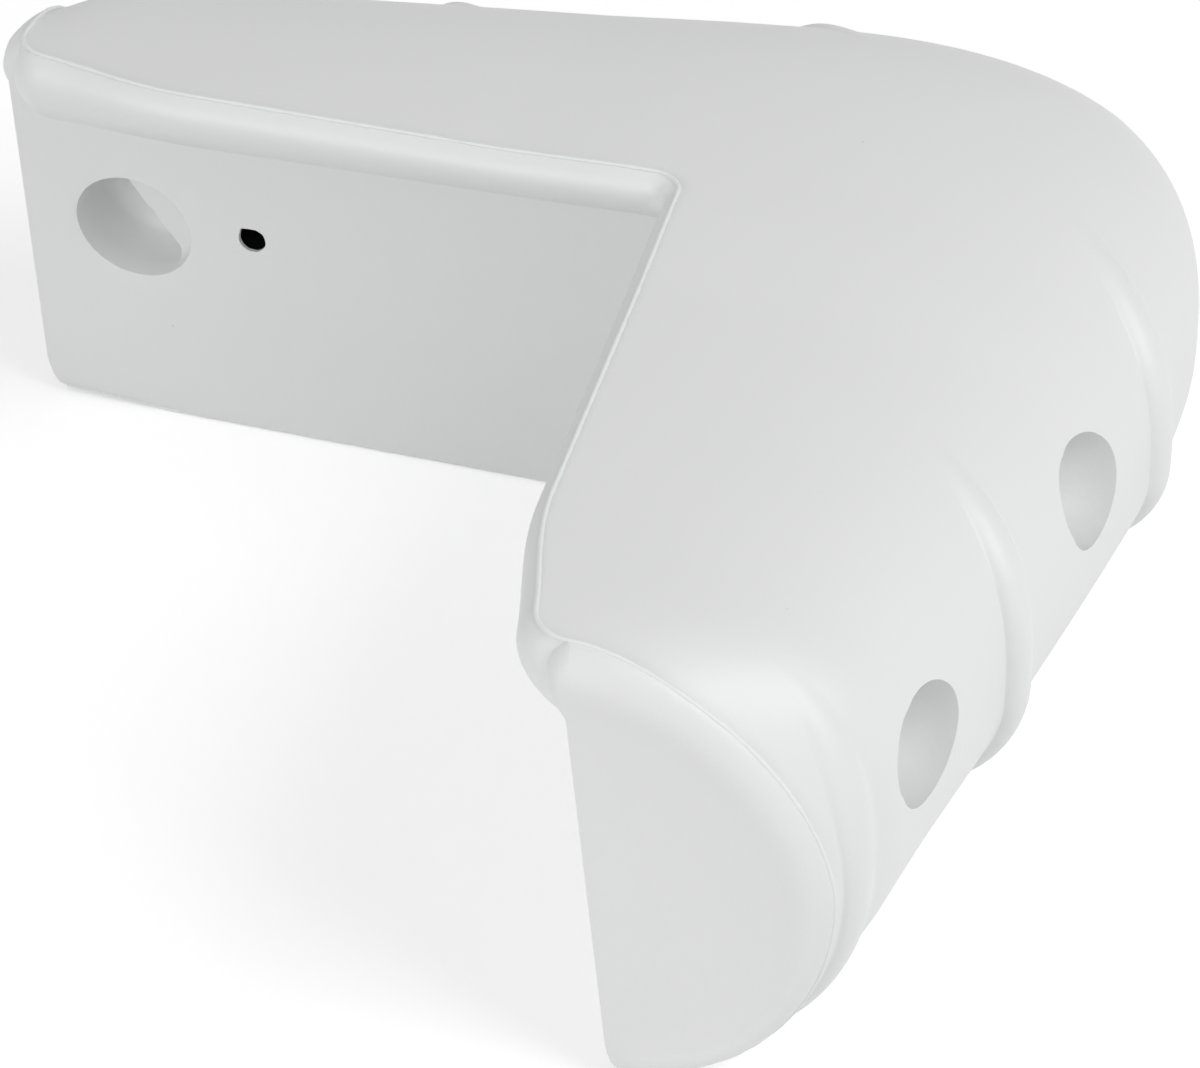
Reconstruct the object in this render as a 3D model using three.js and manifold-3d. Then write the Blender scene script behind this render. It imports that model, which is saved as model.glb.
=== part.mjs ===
// Corner bumper for a boat dock: one hollow moulding that wraps an outside corner of the deck.
// Millimetres, +Z up. The two arms run along -X and -Y from the deck corner and mirror each other
// in the plane x = y. The lip hooks over the deck and the inner faces lie against its sides.
import * as THREE from "three";
import { mergeVertices } from "three/addons/utils/BufferGeometryUtils.js";
import Module from "manifold-3d";

// Arms and inner faces
const armLength = 179.7; // deck corner to arm end, along the inner face
const armSplay = 1.8; // degrees that each arm opens past a right angle
const faceHeight = 84; // seat line to bottom edge
const footRiseTip = 1.4; // how much higher the bottom edge is at the arm end
const footRiseCorner = 0.6; // and at the deck corner
const faceLean = 5.3; // degrees that an inner face leans outwards on its way down
const seatRise = 5.6; // how much higher the seat line is at the deck corner
const seatTip = 8; // how far it turns up at the arm end
const seatTipRun = 11; // length of that turn
const wall = 3; // moulded wall

// Lip that hooks over the deck
const lipReachTip = 9; // overhang past the inner face at the arm end
const lipReach = 16; // overhang along the middle of the arm
const lipEase = 50; // length over which the arm end blends into the arm
const lipCornerRadius = 7; // rounded corner of the lip, seen from above
const lipTopTip = 22.8; // parting line above the seat at the arm end
const lipTop = 22.9;
const lipTopCorner = 25;
const lipBulge = 10; // how far the lip swells beyond its parting line

// D-shaped section
const tipWidth = 54; // inner face plane to the outermost line at the arm end
const cornerWidth = 94; // the same where the arm meets the corner
const widthCurve = 1.2; // 1 gives a straight taper
const tipTuck = 3.5; // what the outermost line draws in over the last stretch
const tipTuckRun = 25;
const outermostDrop = 31; // seat line down to the outermost line
const tipShoulder = 1.9; // roundness power of the upper quarter at the arm end
const armShoulder = 3; // the same along the arm
const cornerShoulder = 3.25; // the same on the diagonal
const tipBelly = 2.0; // roundness power of the lower quarter at the arm end
const armBelly = 1.72; // the same along the arm
const diagonalReach = 142.7; // pivot to the outermost line on the diagonal
const cornerTaper = 0.1; // slope of the outline where the corner begins

// Ends of the arms
const endRound = 3.2; // flat end past the parting line
const endSwell = 0.8; // how far the band between them stands past the flat end
const endFlatWidth = 0.8; // flat end as a share of the section, sideways
const endFlatTop = 0.77; // the same upwards
const endFlatBottom = 0.86; // the same downwards
const endBands = 4; // rings between parting line and flat end

// Ribs round the outside, each in a vertical plane turned from square to the arm
const ribs = [
  { at: 169.5, turn: 20, height: 1.8 }, // where it crosses the outermost line, degrees towards the diagonal
  { at: 102.7, turn: 38, height: 3 },
  { at: 22, turn: 43, height: 3 },
];
const ribHalfWidth = 4.6;
const ribSwing = 7; // how far a rib has swung towards the arm end at the bottom edge

// Mounting tunnels and blind pockets
const tunnelInnerAt = 153; // along the arm, on the inner face
const tunnelInnerDrop = 28.5; // below the seat line
const tunnelOuterAt = 145.5; // along the arm, on the outer side
const tunnelOuterDrop = 13.5;
const tunnelRadius = 10.2; // at the outer mouth
const tunnelDraft = 0.02; // radius lost for each millimetre of depth
const innerRadius = 13.8; // at the inner mouth
const webDepth = 14; // inner pocket, from the inner face to the trimmed web
const webHoleRadius = 9.5;
const webHoleShift = 2.5; // the trimmed hole sits off centre, towards the arm end
const pocketSpacing = 81; // tunnel to blind pocket, along the arm
const pocketDepth = 34;

// Blow pin vent in one inner face
const ventAt = 123.5; // along the arm
const ventDrop = 26;
const ventRadius = 3.4;

// Mesh steps
const armSteps = 16;
const lipCornerSteps = 4;
const cornerSteps = 9;
const faceSteps = 3;
const lipSteps = 5;
const shoulderSteps = 12;
const bellySteps = 8;
const cavityDetail = 0.5; // share of these steps used inside the wall
const ribSteps = 18;
const ribSides = 6;
const boreSides = 24;

const wasm = await Module();
wasm.setup();

const splay = THREE.MathUtils.degToRad(armSplay);
const lean = Math.tan(THREE.MathUtils.degToRad(faceLean));
const along = new THREE.Vector3(-Math.cos(splay), Math.sin(splay), 0);
const outward = new THREE.Vector3(Math.sin(splay), Math.cos(splay), 0);

// Sections stand square to the arm, then fan round a pivot inside the deck corner
const pivotOffset = 30;
const pivotAt = (pivotOffset * (Math.cos(splay) - Math.sin(splay))) / (Math.cos(splay) + Math.sin(splay));
const fanAngle = Math.PI / 4 - splay;

const lerp = THREE.MathUtils.lerp;
const smooth = (x, low, high) => THREE.MathUtils.smoothstep(x, low, high);

// Cubic between two values with a slope at each end
function hermite(t, from, slopeFrom, to, slopeTo) {
  const a = (2 * t - 3) * t * t + 1;
  const b = ((t - 2) * t + 1) * t;
  const c = (3 - 2 * t) * t * t;
  const d = (t - 1) * t * t;
  return a * from + b * slopeFrom + c * to + d * slopeTo;
}

function armWidth(at) {
  const tuck = tipTuck * smooth(at, armLength - tipTuckRun, armLength);
  return tipWidth + (cornerWidth - tipWidth) * (1 - (at / armLength) ** widthCurve) - tuck;
}

// A station is a place along the half body: `at` along the arm, then `turn` round the corner
function station(at, turn) {
  const round = turn / fanAngle;
  const inArm = smooth(armLength - at, 0, lipEase);
  const intoCorner = Math.max(0, at - (armLength - endRound - lipCornerRadius)) / lipCornerRadius;
  const cornerCut = lipCornerRadius * (1 - Math.sqrt(Math.max(0, 1 - intoCorner ** 2)));
  const nearCorner = THREE.MathUtils.clamp((2 * pivotAt - at) / (2 * pivotAt), 0, 1);
  const pivotWidth = pivotOffset + armWidth(pivotAt);
  const reach = turn > 0
    ? hermite(round, pivotWidth, pivotWidth * cornerTaper * fanAngle, diagonalReach, 0)
    : pivotOffset + armWidth(at);
  const shoulder = lerp(lerp(tipShoulder, armShoulder, inArm), cornerShoulder, round);
  const lipTopHere = lerp(lerp(lipTopTip, lipTop, inArm), lipTopCorner, nearCorner);
  return {
    at,
    turn,
    reach,
    shoulder,
    belly: lerp(tipBelly, armBelly, inArm),
    lipTop: lipTopHere,
    lipReach: lerp(lipReachTip, lipReach, inArm) - cornerCut,
    seat: seatRise * (1 - at / armLength) + seatTip * smooth(at, armLength - seatTipRun, armLength),
    bottom: -faceHeight + footRiseTip * (1 - inArm) + footRiseCorner * nearCorner,
  };
}

// Point of a station: distance from the pivot line and height above the seat line
function place(st, distance, height) {
  const angle = Math.PI / 2 - splay - st.turn;
  const ray = new THREE.Vector3(Math.cos(angle), Math.sin(angle), 0);
  return along.clone().multiplyScalar(st.at)
    .addScaledVector(outward, -pivotOffset)
    .addScaledVector(ray, distance)
    .setZ(height);
}

// Upper quarter of the outside, from the parting line to the outermost line
function shoulderPoint(st, t, inset = 0) {
  const square = 1 / Math.cos(st.turn);
  const lipAt = (pivotOffset - st.lipReach + inset) * square;
  const lipHeight = st.lipTop - inset;
  const power = 2 / st.shoulder;
  const angle = (t * Math.PI) / 2;
  const outer = st.reach - inset;
  return [
    lipAt + (outer - lipAt) * Math.sin(angle) ** power,
    -outermostDrop + (lipHeight + outermostDrop) * Math.max(0, Math.cos(angle)) ** power,
  ];
}

// Lower quarter, from the outermost line to the bottom edge of the inner face
function bellyPoint(st, t, inset = 0) {
  const square = 1 / Math.cos(st.turn);
  const bottom = st.bottom + inset;
  const footAt = (pivotOffset - lean * st.bottom + inset) * square;
  const power = 2 / st.belly;
  const angle = (t * Math.PI) / 2;
  return [
    footAt + (st.reach - inset - footAt) * Math.max(0, Math.cos(angle)) ** power,
    -outermostDrop + (bottom + outermostDrop) * Math.sin(angle) ** power,
  ];
}

// Closed outline of a station: inner face upwards, lip, shoulder, belly
function outline(st, inset = 0) {
  const detail = inset > 0 ? cavityDetail : 1;
  const [onFace, onLip, onShoulder, onBelly] = [faceSteps, lipSteps, shoulderSteps, bellySteps]
    .map((steps) => Math.ceil(steps * detail));
  const square = 1 / Math.cos(st.turn);
  const points = [];
  const bottom = st.bottom + inset;
  const seat = st.seat - inset;
  for (let i = 0; i < onFace; i++) {
    const height = lerp(bottom, seat, i / onFace);
    points.push([(pivotOffset + inset - lean * height) * square, height]);
  }
  const root = new THREE.Vector2((pivotOffset + inset - lean * seat) * square, seat);
  const [edgeAt, edgeHeight] = shoulderPoint(st, 0, inset);
  const edge = new THREE.Vector2(edgeAt, edgeHeight);
  const bulge = lipBulge * square;
  const band = new THREE.CubicBezierCurve(
    root,
    new THREE.Vector2(lerp(root.x, edge.x, 0.75), lerp(seat, edge.y, 0.1)),
    new THREE.Vector2(edge.x - bulge, lerp(edge.y, seat, 0.3)),
    edge,
  );
  for (let i = 0; i < onLip; i++) {
    const p = band.getPoint(i / onLip);
    points.push([p.x, p.y]);
  }
  for (let i = 0; i < onShoulder; i++) points.push(shoulderPoint(st, i / onShoulder, inset));
  for (let i = 0; i < onBelly; i++) points.push(bellyPoint(st, i / onBelly, inset));
  return points;
}

// Outline drawn in towards the flat end, never past the inner face
function endOutline(points, share) {
  return points.map(([distance, height]) => {
    const o = distance - pivotOffset;
    const below = THREE.MathUtils.clamp((-outermostDrop - height) / (faceHeight - outermostDrop), 0, 1);
    const high = height > -outermostDrop ? endFlatTop : endFlatBottom;
    const drawnHeight = -outermostDrop + (height + outermostDrop) * lerp(1, high, share);
    const face = -lean * drawnHeight;
    const drawn = o * lerp(1, lerp(endFlatWidth, 1, below), share);
    return [pivotOffset + (o < face ? lerp(o, face, Math.sqrt(share)) : Math.max(drawn, face)), drawnHeight];
  });
}

// Rings of points for the half body, from the arm end to the diagonal
function halfRings(inset = 0) {
  const detail = inset > 0 ? cavityDetail : 1;
  const [onArm, onCorner] = [armSteps, cornerSteps].map((steps) => Math.ceil(steps * detail));
  const rings = [];
  const end = armLength - inset;
  const last = station(end - endRound, 0);
  const base = outline(last, inset);
  for (let i = endBands; i > 0; i--) {
    const share = i / endBands;
    const back = endRound * (1 - share) ** 3 - endSwell * Math.sin(Math.PI * share);
    const st = { ...last, at: end - back };
    rings.push(endOutline(base, share).map(([d, z]) => place(st, d, z)));
  }
  const stations = [];
  const cornerFrom = end - endRound - lipCornerRadius;
  for (let i = 0; i < lipCornerSteps; i++) {
    stations.push(station(cornerFrom + lipCornerRadius * Math.cos((i / lipCornerSteps) * (Math.PI / 2)), 0));
  }
  for (let i = 0; i < onArm; i++) {
    stations.push(station(lerp(cornerFrom, pivotAt, i / onArm), 0));
  }
  for (let i = 0; i <= onCorner; i++) stations.push(station(pivotAt, (fanAngle * i) / onCorner));
  for (const st of stations) rings.push(outline(st, inset).map(([d, z]) => place(st, d, z)));
  return rings;
}

const mirrored = (p) => new THREE.Vector3(p.y, p.x, p.z);

// Closed body through both arms
function loft(inset = 0) {
  const half = halfRings(inset);
  const rings = [...half, ...half.slice(0, -1).reverse().map((ring) => ring.map(mirrored))];
  const count = rings[0].length;
  const position = rings.flat().flatMap((p) => [p.x, p.y, p.z]);
  const index = [];
  for (let i = 0; i + 1 < rings.length; i++) {
    for (let j = 0; j < count; j++) {
      const a = i * count + j;
      const b = i * count + ((j + 1) % count);
      index.push(a, a + count, b, b, a + count, b + count);
    }
  }
  for (const [ring, flip] of [[0, false], [rings.length - 1, true]]) {
    const centre = new THREE.Vector3();
    rings[ring].forEach((p) => centre.addScaledVector(p, 1 / count));
    const hub = position.length / 3;
    position.push(centre.x, centre.y, centre.z);
    for (let j = 0; j < count; j++) {
      const a = ring * count + j;
      const b = ring * count + ((j + 1) % count);
      index.push(...(flip ? [hub, b, a] : [hub, a, b]));
    }
  }
  const geometry = new THREE.BufferGeometry();
  geometry.setAttribute("position", new THREE.Float32BufferAttribute(position, 3));
  geometry.setIndex(index);
  return geometry;
}

function solid(geometry) {
  const bare = geometry.clone();
  bare.deleteAttribute("normal");
  bare.deleteAttribute("uv");
  const merged = mergeVertices(bare, 1e-4);
  return new wasm.Manifold(new wasm.Mesh({
    numProp: 3,
    vertProperties: new Float32Array(merged.attributes.position.array),
    triVerts: new Uint32Array(merged.index.array),
  }));
}

// Outside of the half body as one surface: `u` from arm end to diagonal, `v` from parting line to bottom edge
function outside(u, v) {
  const armShare = 0.7;
  const st = u < armShare
    ? station(lerp(armLength - endRound, pivotAt, u / armShare), 0)
    : station(pivotAt, (fanAngle * (u - armShare)) / (1 - armShare));
  const [d, z] = v < 0.5 ? shoulderPoint(st, v * 2) : bellyPoint(st, v * 2 - 1);
  return place(st, d, z);
}

// Where the outside crosses the plane of a rib
function crossing({ at, turn }, v) {
  const slope = Math.tan(THREE.MathUtils.degToRad(turn));
  const start = at + ribSwing * Math.max(0, 2 * v - 1) ** 2;
  let low = 0;
  let high = 1;
  for (let i = 0; i < 30; i++) {
    const middle = (low + high) / 2;
    const p = outside(middle, v);
    if (p.dot(along) - start > slope * (p.dot(outward) - armWidth(at))) low = middle;
    else high = middle;
  }
  return (low + high) / 2;
}

function outsideNormal(u, v) {
  const step = 1e-3;
  const du = outside(Math.min(1, u + step), v).sub(outside(Math.max(0, u - step), v));
  const dv = outside(u, Math.min(0.999, v + step)).sub(outside(u, Math.max(0.001, v - step)));
  return du.cross(dv).normalize();
}

// Rib: a round bar sunk into the outside, deeper towards both of its ends
function rib(place) {
  const radius = (ribHalfWidth ** 2 + place.height ** 2) / (2 * place.height);
  const from = 0.12;
  const to = 0.965;
  const points = [];
  for (let i = 0; i <= ribSteps; i++) {
    const t = i / ribSteps;
    const v = lerp(from, to, t);
    const u = crossing(place, v);
    const fade = 1 - smooth(t, 0, 0.36) * (1 - smooth(t, 0.89, 1));
    const depth = radius - place.height + fade * (place.height + 1);
    points.push(outside(u, v).addScaledVector(outsideNormal(u, v), -depth));
  }
  const bar = new THREE.Shape().absarc(0, 0, radius, 0, Math.PI * 2);
  return new THREE.ExtrudeGeometry(bar, {
    steps: ribSteps,
    curveSegments: ribSides,
    bevelEnabled: false,
    extrudePath: new THREE.CatmullRomCurve3(points),
  });
}

// Round plug along a line from the outside inwards, with a radius at each end
function plug(from, to, radiusFrom, radiusTo) {
  const length = from.distanceTo(to);
  const profile = [[0, 0], [radiusFrom, 0], [radiusTo, length], [0, length]];
  const geometry = new THREE.LatheGeometry(profile.map(([r, y]) => new THREE.Vector2(r, y)), boreSides);
  const direction = to.clone().sub(from).normalize();
  geometry.applyQuaternion(new THREE.Quaternion().setFromUnitVectors(new THREE.Vector3(0, 1, 0), direction));
  return geometry.translate(from.x, from.y, from.z);
}

// Point beside an arm: along it, out from the inner face plane, and below the seat line
function beside(at, out, drop) {
  return along.clone().multiplyScalar(at).addScaledVector(outward, out).setZ(-drop);
}

function mirroredGeometry(geometry) {
  const copy = (geometry.index ? geometry.toNonIndexed() : geometry.clone());
  const p = copy.attributes.position;
  for (let i = 0; i < p.count; i += 3) {
    const corners = [0, 1, 2].map((j) => [p.getY(i + j), p.getX(i + j), p.getZ(i + j)]);
    corners.reverse().forEach((c, j) => p.setXYZ(i + j, ...c));
  }
  return copy;
}

// Both arms' copies of a shape
const onBothArms = (geometry) => [solid(geometry), solid(mirroredGeometry(geometry))];

function makeBody() {
  const innerMouth = beside(tunnelInnerAt, lean * tunnelInnerDrop, tunnelInnerDrop);
  const outerMouth = beside(tunnelOuterAt, armWidth(tunnelOuterAt), tunnelOuterDrop);
  const axis = innerMouth.clone().sub(outerMouth).normalize();
  const depth = innerMouth.distanceTo(outerMouth);
  const clear = 25; // how far the cutting plugs stand past a face
  const radiusAt = (d) => tunnelRadius - tunnelDraft * d;
  const down = (mouth, d) => mouth.clone().addScaledVector(axis, d);
  const thicker = armWidth(tunnelOuterAt - pocketSpacing) - armWidth(tunnelOuterAt);
  const pocketMouth = outerMouth.clone().addScaledVector(along, -pocketSpacing)
    .addScaledVector(axis, thicker / axis.dot(outward));
  const web = depth - webDepth;

  let outer = solid(loft());
  for (const place of ribs) for (const bar of onBothArms(rib(place))) outer = outer.add(bar);

  const tunnelWall = plug(down(outerMouth, -clear), down(outerMouth, depth + clear),
    radiusAt(-clear) + wall, innerRadius + 1 + wall);
  const pocketWall = plug(down(pocketMouth, -clear), down(pocketMouth, pocketDepth + wall),
    radiusAt(-clear) + wall, radiusAt(pocketDepth) + wall);
  const outerBore = plug(down(outerMouth, -clear), down(outerMouth, web - wall),
    radiusAt(-clear), radiusAt(web - wall));
  const pocketBore = plug(down(pocketMouth, -clear), down(pocketMouth, pocketDepth),
    radiusAt(-clear), radiusAt(pocketDepth));
  const innerBore = plug(down(outerMouth, web), down(outerMouth, depth + clear), innerRadius, innerRadius + 1);
  const webHole = plug(down(outerMouth, web - 2 * wall), down(outerMouth, web + wall),
    webHoleRadius, webHoleRadius).translate(along.x * webHoleShift, along.y * webHoleShift, 0);

  let body = outer.subtract(solid(loft(wall)));
  for (const part of [...onBothArms(tunnelWall), ...onBothArms(pocketWall)]) body = body.add(outer.intersect(part));
  for (const bore of [outerBore, pocketBore, innerBore, webHole]) {
    for (const part of onBothArms(bore)) body = body.subtract(part);
  }
  const ventStart = beside(ventAt, -clear, ventDrop);
  const ventEnd = beside(ventAt, 2 * wall + lean * ventDrop, ventDrop);
  return body.subtract(solid(plug(ventStart, ventEnd, ventRadius, ventRadius)));
}

function toGeometry(manifold) {
  const mesh = manifold.getMesh();
  const geometry = new THREE.BufferGeometry();
  geometry.setAttribute("position", new THREE.BufferAttribute(mesh.vertProperties, 3));
  geometry.setIndex(new THREE.BufferAttribute(mesh.triVerts, 1));
  return geometry;
}

// The origin is the middle of the base
const geometry = toGeometry(makeBody());
geometry.computeBoundingBox();
const box = geometry.boundingBox;
geometry.translate(-(box.min.x + box.max.x) / 2, -(box.min.y + box.max.y) / 2, -box.min.z);

const plastic = new THREE.MeshStandardMaterial({ color: 0xe2e5e5, roughness: 0.5, metalness: 0 });
const body = new THREE.Mesh(geometry, plastic);
body.name = "bumper_body";

const bumper = new THREE.Group();
bumper.add(body);

export default bumper;
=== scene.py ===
import bmesh
import bpy
import numpy as np
from math import cos, sin, tan, radians, pi
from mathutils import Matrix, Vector


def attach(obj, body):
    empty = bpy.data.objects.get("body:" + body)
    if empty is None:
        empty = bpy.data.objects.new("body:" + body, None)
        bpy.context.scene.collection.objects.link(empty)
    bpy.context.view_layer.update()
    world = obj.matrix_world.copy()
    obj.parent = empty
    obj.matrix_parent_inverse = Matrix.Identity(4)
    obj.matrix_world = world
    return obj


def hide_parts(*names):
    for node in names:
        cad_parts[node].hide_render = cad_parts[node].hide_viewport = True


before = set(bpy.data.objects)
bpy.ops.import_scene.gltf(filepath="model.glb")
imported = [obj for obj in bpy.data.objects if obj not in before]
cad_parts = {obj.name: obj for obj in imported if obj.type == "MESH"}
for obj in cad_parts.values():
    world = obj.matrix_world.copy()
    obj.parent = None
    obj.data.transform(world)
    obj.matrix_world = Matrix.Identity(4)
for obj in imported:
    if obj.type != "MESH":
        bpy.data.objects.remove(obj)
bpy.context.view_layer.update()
print("frame loaded")

mm = 0.001
arm = {
    "length": 179.7, "splay": 1.8, "lean": 5.3,
    "foot": 84.0, "footRiseTip": 1.4, "footRiseCorner": 0.6, "footRoundTip": 3.5, "footRound": 1.2,
    "seatRise": 5.6, "seatTip": 8.0, "seatTipRun": 11.0,
    "tipWidth": 54.0, "cornerWidth": 94.0, "widthCurve": 1.2, "tuck": 3.5, "tuckRun": 25.0,
    "outermostDrop": 31.0, "diagonalReach": 142.7, "cornerTaper": 0.1,
    "tipShoulder": 1.75, "armShoulder": 2.87, "cornerShoulder": 3.2, "shoulderRun": 26.0, "shoulderEase": 2.5,
    "tipBelly": 2.0, "armBelly": 1.72, "pivotOffset": 30.0, "wall": 3.0,
}
lip = {
    "reachTip": 9.0, "reach": 16.0, "ease": 50.0, "cornerRadius": 8.0,
    "tipTurnIn": 2.5, "turnInRun": 40.0, "turnInFade": 0.4,
    "topTip": 22.8, "top": 22.9, "topCorner": 25.0, "bulge": 10.0, "rootFillet": 1.6,
    "insideRound": 7.0, "faceRound": 3.5,
    "curlReach": 0.75, "curlRise": 0.1, "bulgeFall": 0.3,      # shares that bend the band from root to edge
}
hollow = {"seatGap": 0.5, "seatRise": 2.5, "curlReach": 0.6}  # keeps the hollow clear of the lip's root
armEnd = {
    "round": 3.2, "swell": 0.8, "swellClear": 8.0, "dish": 0.5, "cornerRound": 2.0,
    "flatWidth": 0.8, "flatTop": 0.77, "flatBottom": 0.86,
}

splay = radians(arm["splay"])
lean = tan(radians(arm["lean"]))
along = np.array([-cos(splay), sin(splay), 0.0])     # from the deck corner to the left arm's end
outward = np.array([sin(splay), cos(splay), 0.0])
swap = [1, 0, 2]                                     # the other arm is the mirror image in x = y
pivotAt = arm["pivotOffset"] * (cos(splay) - sin(splay)) / (cos(splay) + sin(splay))
fanAngle = pi / 4 - splay
fanRun = 80.0                                        # mm of column coordinate per radian of the corner fan
seamAt = arm["length"] - armEnd["round"]             # where the parting line goes round an arm's end
diagonalColumn = pivotAt - fanAngle * fanRun


def cadCorner():
    # deck corner in the part frame: the inner face meets the mirror plane at its foot
    points = np.array([v.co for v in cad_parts["bumper_body"].data.vertices]) / mm
    onPlane = points[abs(points[:, 0] - points[:, 1]) < 0.01]
    low = onPlane[onPlane[:, 2] < 60]
    inner = low[low[:, 0] < low[:, 0].min() + 12]
    lowest = inner[:, 2].min()
    x = inner[inner[:, 2] < lowest + 0.01, 0].min()
    pivot = along * pivotAt - outward * arm["pivotOffset"]
    reach = (arm["pivotOffset"] + lean * (arm["foot"] - lowest)) / cos(fanAngle)
    shift = x - pivot[0] - reach / 2 ** 0.5
    return np.array([shift, shift, arm["foot"]])


deckCorner = cadCorner()
print("deck corner at", deckCorner.round(3))


def lerp(a, b, t):
    return a + (b - a) * t


def smooth(x, low, high):
    t = np.clip((x - low) / (high - low), 0, 1)
    return t * t * (3 - 2 * t)


def armWidth(at):
    tuck = arm["tuck"] * smooth(at, arm["length"] - arm["tuckRun"], arm["length"])
    share = 1 - (np.maximum(at, 0) / arm["length"]) ** arm["widthCurve"]
    return arm["tipWidth"] + (arm["cornerWidth"] - arm["tipWidth"]) * share - tuck


def stationAt(column):
    # measures of the section at each column coordinate: along the arm, then round the corner
    at = np.maximum(column, pivotAt)
    turn = np.maximum(0, (pivotAt - column) / fanRun)
    share = turn / fanAngle
    inArm = smooth(arm["length"] - at, 0, lip["ease"])
    into = np.clip((at - (seamAt - lip["cornerRadius"])) / lip["cornerRadius"], 0, 1)
    cut = lip["cornerRadius"] * (1 - np.sqrt(1 - into ** 2))
    near = np.clip((2 * pivotAt - at) / (2 * pivotAt), 0, 1)
    startWidth = arm["pivotOffset"] + armWidth(pivotAt)
    full = 1 - (1 - np.clip((seamAt - at) / arm["shoulderRun"], 0, 1)) ** arm["shoulderEase"]
    a = (2 * share - 3) * share ** 2 + 1
    b = ((share - 2) * share + 1) * share
    fan = a * startWidth + b * startWidth * arm["cornerTaper"] * fanAngle + (1 - a) * arm["diagonalReach"]
    return {
        "at": at, "turn": turn,
        "reach": np.where(turn > 0, fan, arm["pivotOffset"] + armWidth(at)),
        "shoulder": lerp(lerp(arm["tipShoulder"], arm["armShoulder"], full), arm["cornerShoulder"], share),
        "belly": lerp(arm["tipBelly"], arm["armBelly"], inArm),
        "lipTop": lerp(lerp(lip["topTip"], lip["top"], inArm), lip["topCorner"], near),
        "lipReach": lerp(lip["reachTip"], lip["reach"], inArm) - cut,
        "seat": arm["seatRise"] * (1 - at / arm["length"])
        + arm["seatTip"] * smooth(at, arm["length"] - arm["seatTipRun"], arm["length"]),
        "bottom": -arm["foot"] + arm["footRiseTip"] * (1 - inArm) + arm["footRiseCorner"] * near,
        "footRound": lerp(arm["footRoundTip"], arm["footRound"], inArm),
    }


def place(st, distance, height):
    # distance is counted from the pivot, which lies behind the inner face
    angle = pi / 2 - splay - st["turn"]
    foot = st["at"][..., None] * along - arm["pivotOffset"] * outward
    ray = np.stack([np.cos(angle), np.sin(angle), np.zeros_like(angle)], -1)
    point = foot + distance[..., None] * ray
    point[..., 2] = height
    return point


def rounded(st, distance, radius):
    # a straight edge at this distance from the pivot, with a round where the two arms' edges meet
    turn = st["turn"]
    centre = (distance - radius) / cos(fanAngle)
    arc = centre * np.cos(fanAngle - turn) \
        + np.sqrt(np.maximum(0, radius ** 2 - (centre * np.sin(fanAngle - turn)) ** 2))
    onArc = np.tan(turn) > (distance - radius) / distance * tan(fanAngle)
    return np.where(onArc, arc, distance / np.cos(turn))


def shoulderPoint(st, t, inset=0.0):
    lipAt = rounded(st, arm["pivotOffset"] - st["lipReach"] + inset, lip["insideRound"])
    power = 2 / st["shoulder"]
    outer = st["reach"] - inset
    drop = arm["outermostDrop"]
    return (lipAt + (outer - lipAt) * np.sin(t * pi / 2) ** power,
            -drop + (st["lipTop"] - inset + drop) * np.maximum(0, np.cos(t * pi / 2)) ** power)


def bellyPoint(st, t, inset=0.0):
    footAt = rounded(st, arm["pivotOffset"] - lean * st["bottom"] + inset, lip["faceRound"])
    power = 2 / st["belly"]
    drop = arm["outermostDrop"]
    return (footAt + (st["reach"] - inset - footAt) * np.maximum(0, np.cos(t * pi / 2)) ** power,
            -drop + (st["bottom"] + inset + drop) * np.sin(t * pi / 2) ** power)


def outsidePoint(column, v):
    st = stationAt(column)
    upper = shoulderPoint(st, np.clip(v * 2, 0, 1))
    lower = bellyPoint(st, np.clip(v * 2 - 1, 0, 1))
    return place(st, *(np.where(v < 0.5, u, w) for u, w in zip(upper, lower)))


# Ribs: each lies in its own vertical plane, turned from square to the arm
rib = {
    "places": [169.5, 102.7, 22.0], "turns": [20.0, 38.0, 43.0], "heights": [1.8, 3.0, 3.0],
    "halfWidth": 4.6, "cornerSide": 1.15, "tipBlend": 0.15, "cornerBlend": 1.0, "swing": 7.0,
    "fadeInFrom": 0.12, "fadeInTo": 0.424, "fadeOutFrom": 0.872, "fadeOutTo": 0.965,
}


def ribOffset(k, point, v):
    # distance from the middle of rib k, square to it and positive towards the arm end
    slope = tan(radians(rib["turns"][k]))
    start = rib["places"][k] + rib["swing"] * np.maximum(0, 2 * v - 1) ** 2
    away = point @ along - start - slope * (point @ outward - armWidth(rib["places"][k]))
    return away * cos(radians(rib["turns"][k]))


def ribColumn(k, offset, v):
    # halves the gap until the column is found whose point lies at this offset from rib k
    low = np.full(np.broadcast(offset, v).shape, seamAt)
    high = np.full(low.shape, diagonalColumn)
    for _ in range(34):
        middle = (low + high) / 2
        tipSide = ribOffset(k, outsidePoint(middle, v + 0 * middle), v) > offset
        low = np.where(tipSide, middle, low)
        high = np.where(tipSide, high, middle)
    return (low + high) / 2


def evenSteps(pointAt, count):
    # parameter values that give points evenly spaced along a curve, ends included
    t = np.linspace(0, 1, 3000)
    x, y = pointAt(t)
    run = np.concatenate([[0], np.cumsum(np.hypot(np.diff(x), np.diff(y)))])
    return np.interp(np.linspace(0, run[-1], count + 1), run, t)


def bezier(points, t):
    # points: three or four (distance, height) pairs
    while len(points) > 1:
        points = [tuple(lerp(a, b, t) for a, b in zip(p, q)) for p, q in zip(points, points[1:])]
    return points[0]


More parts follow.
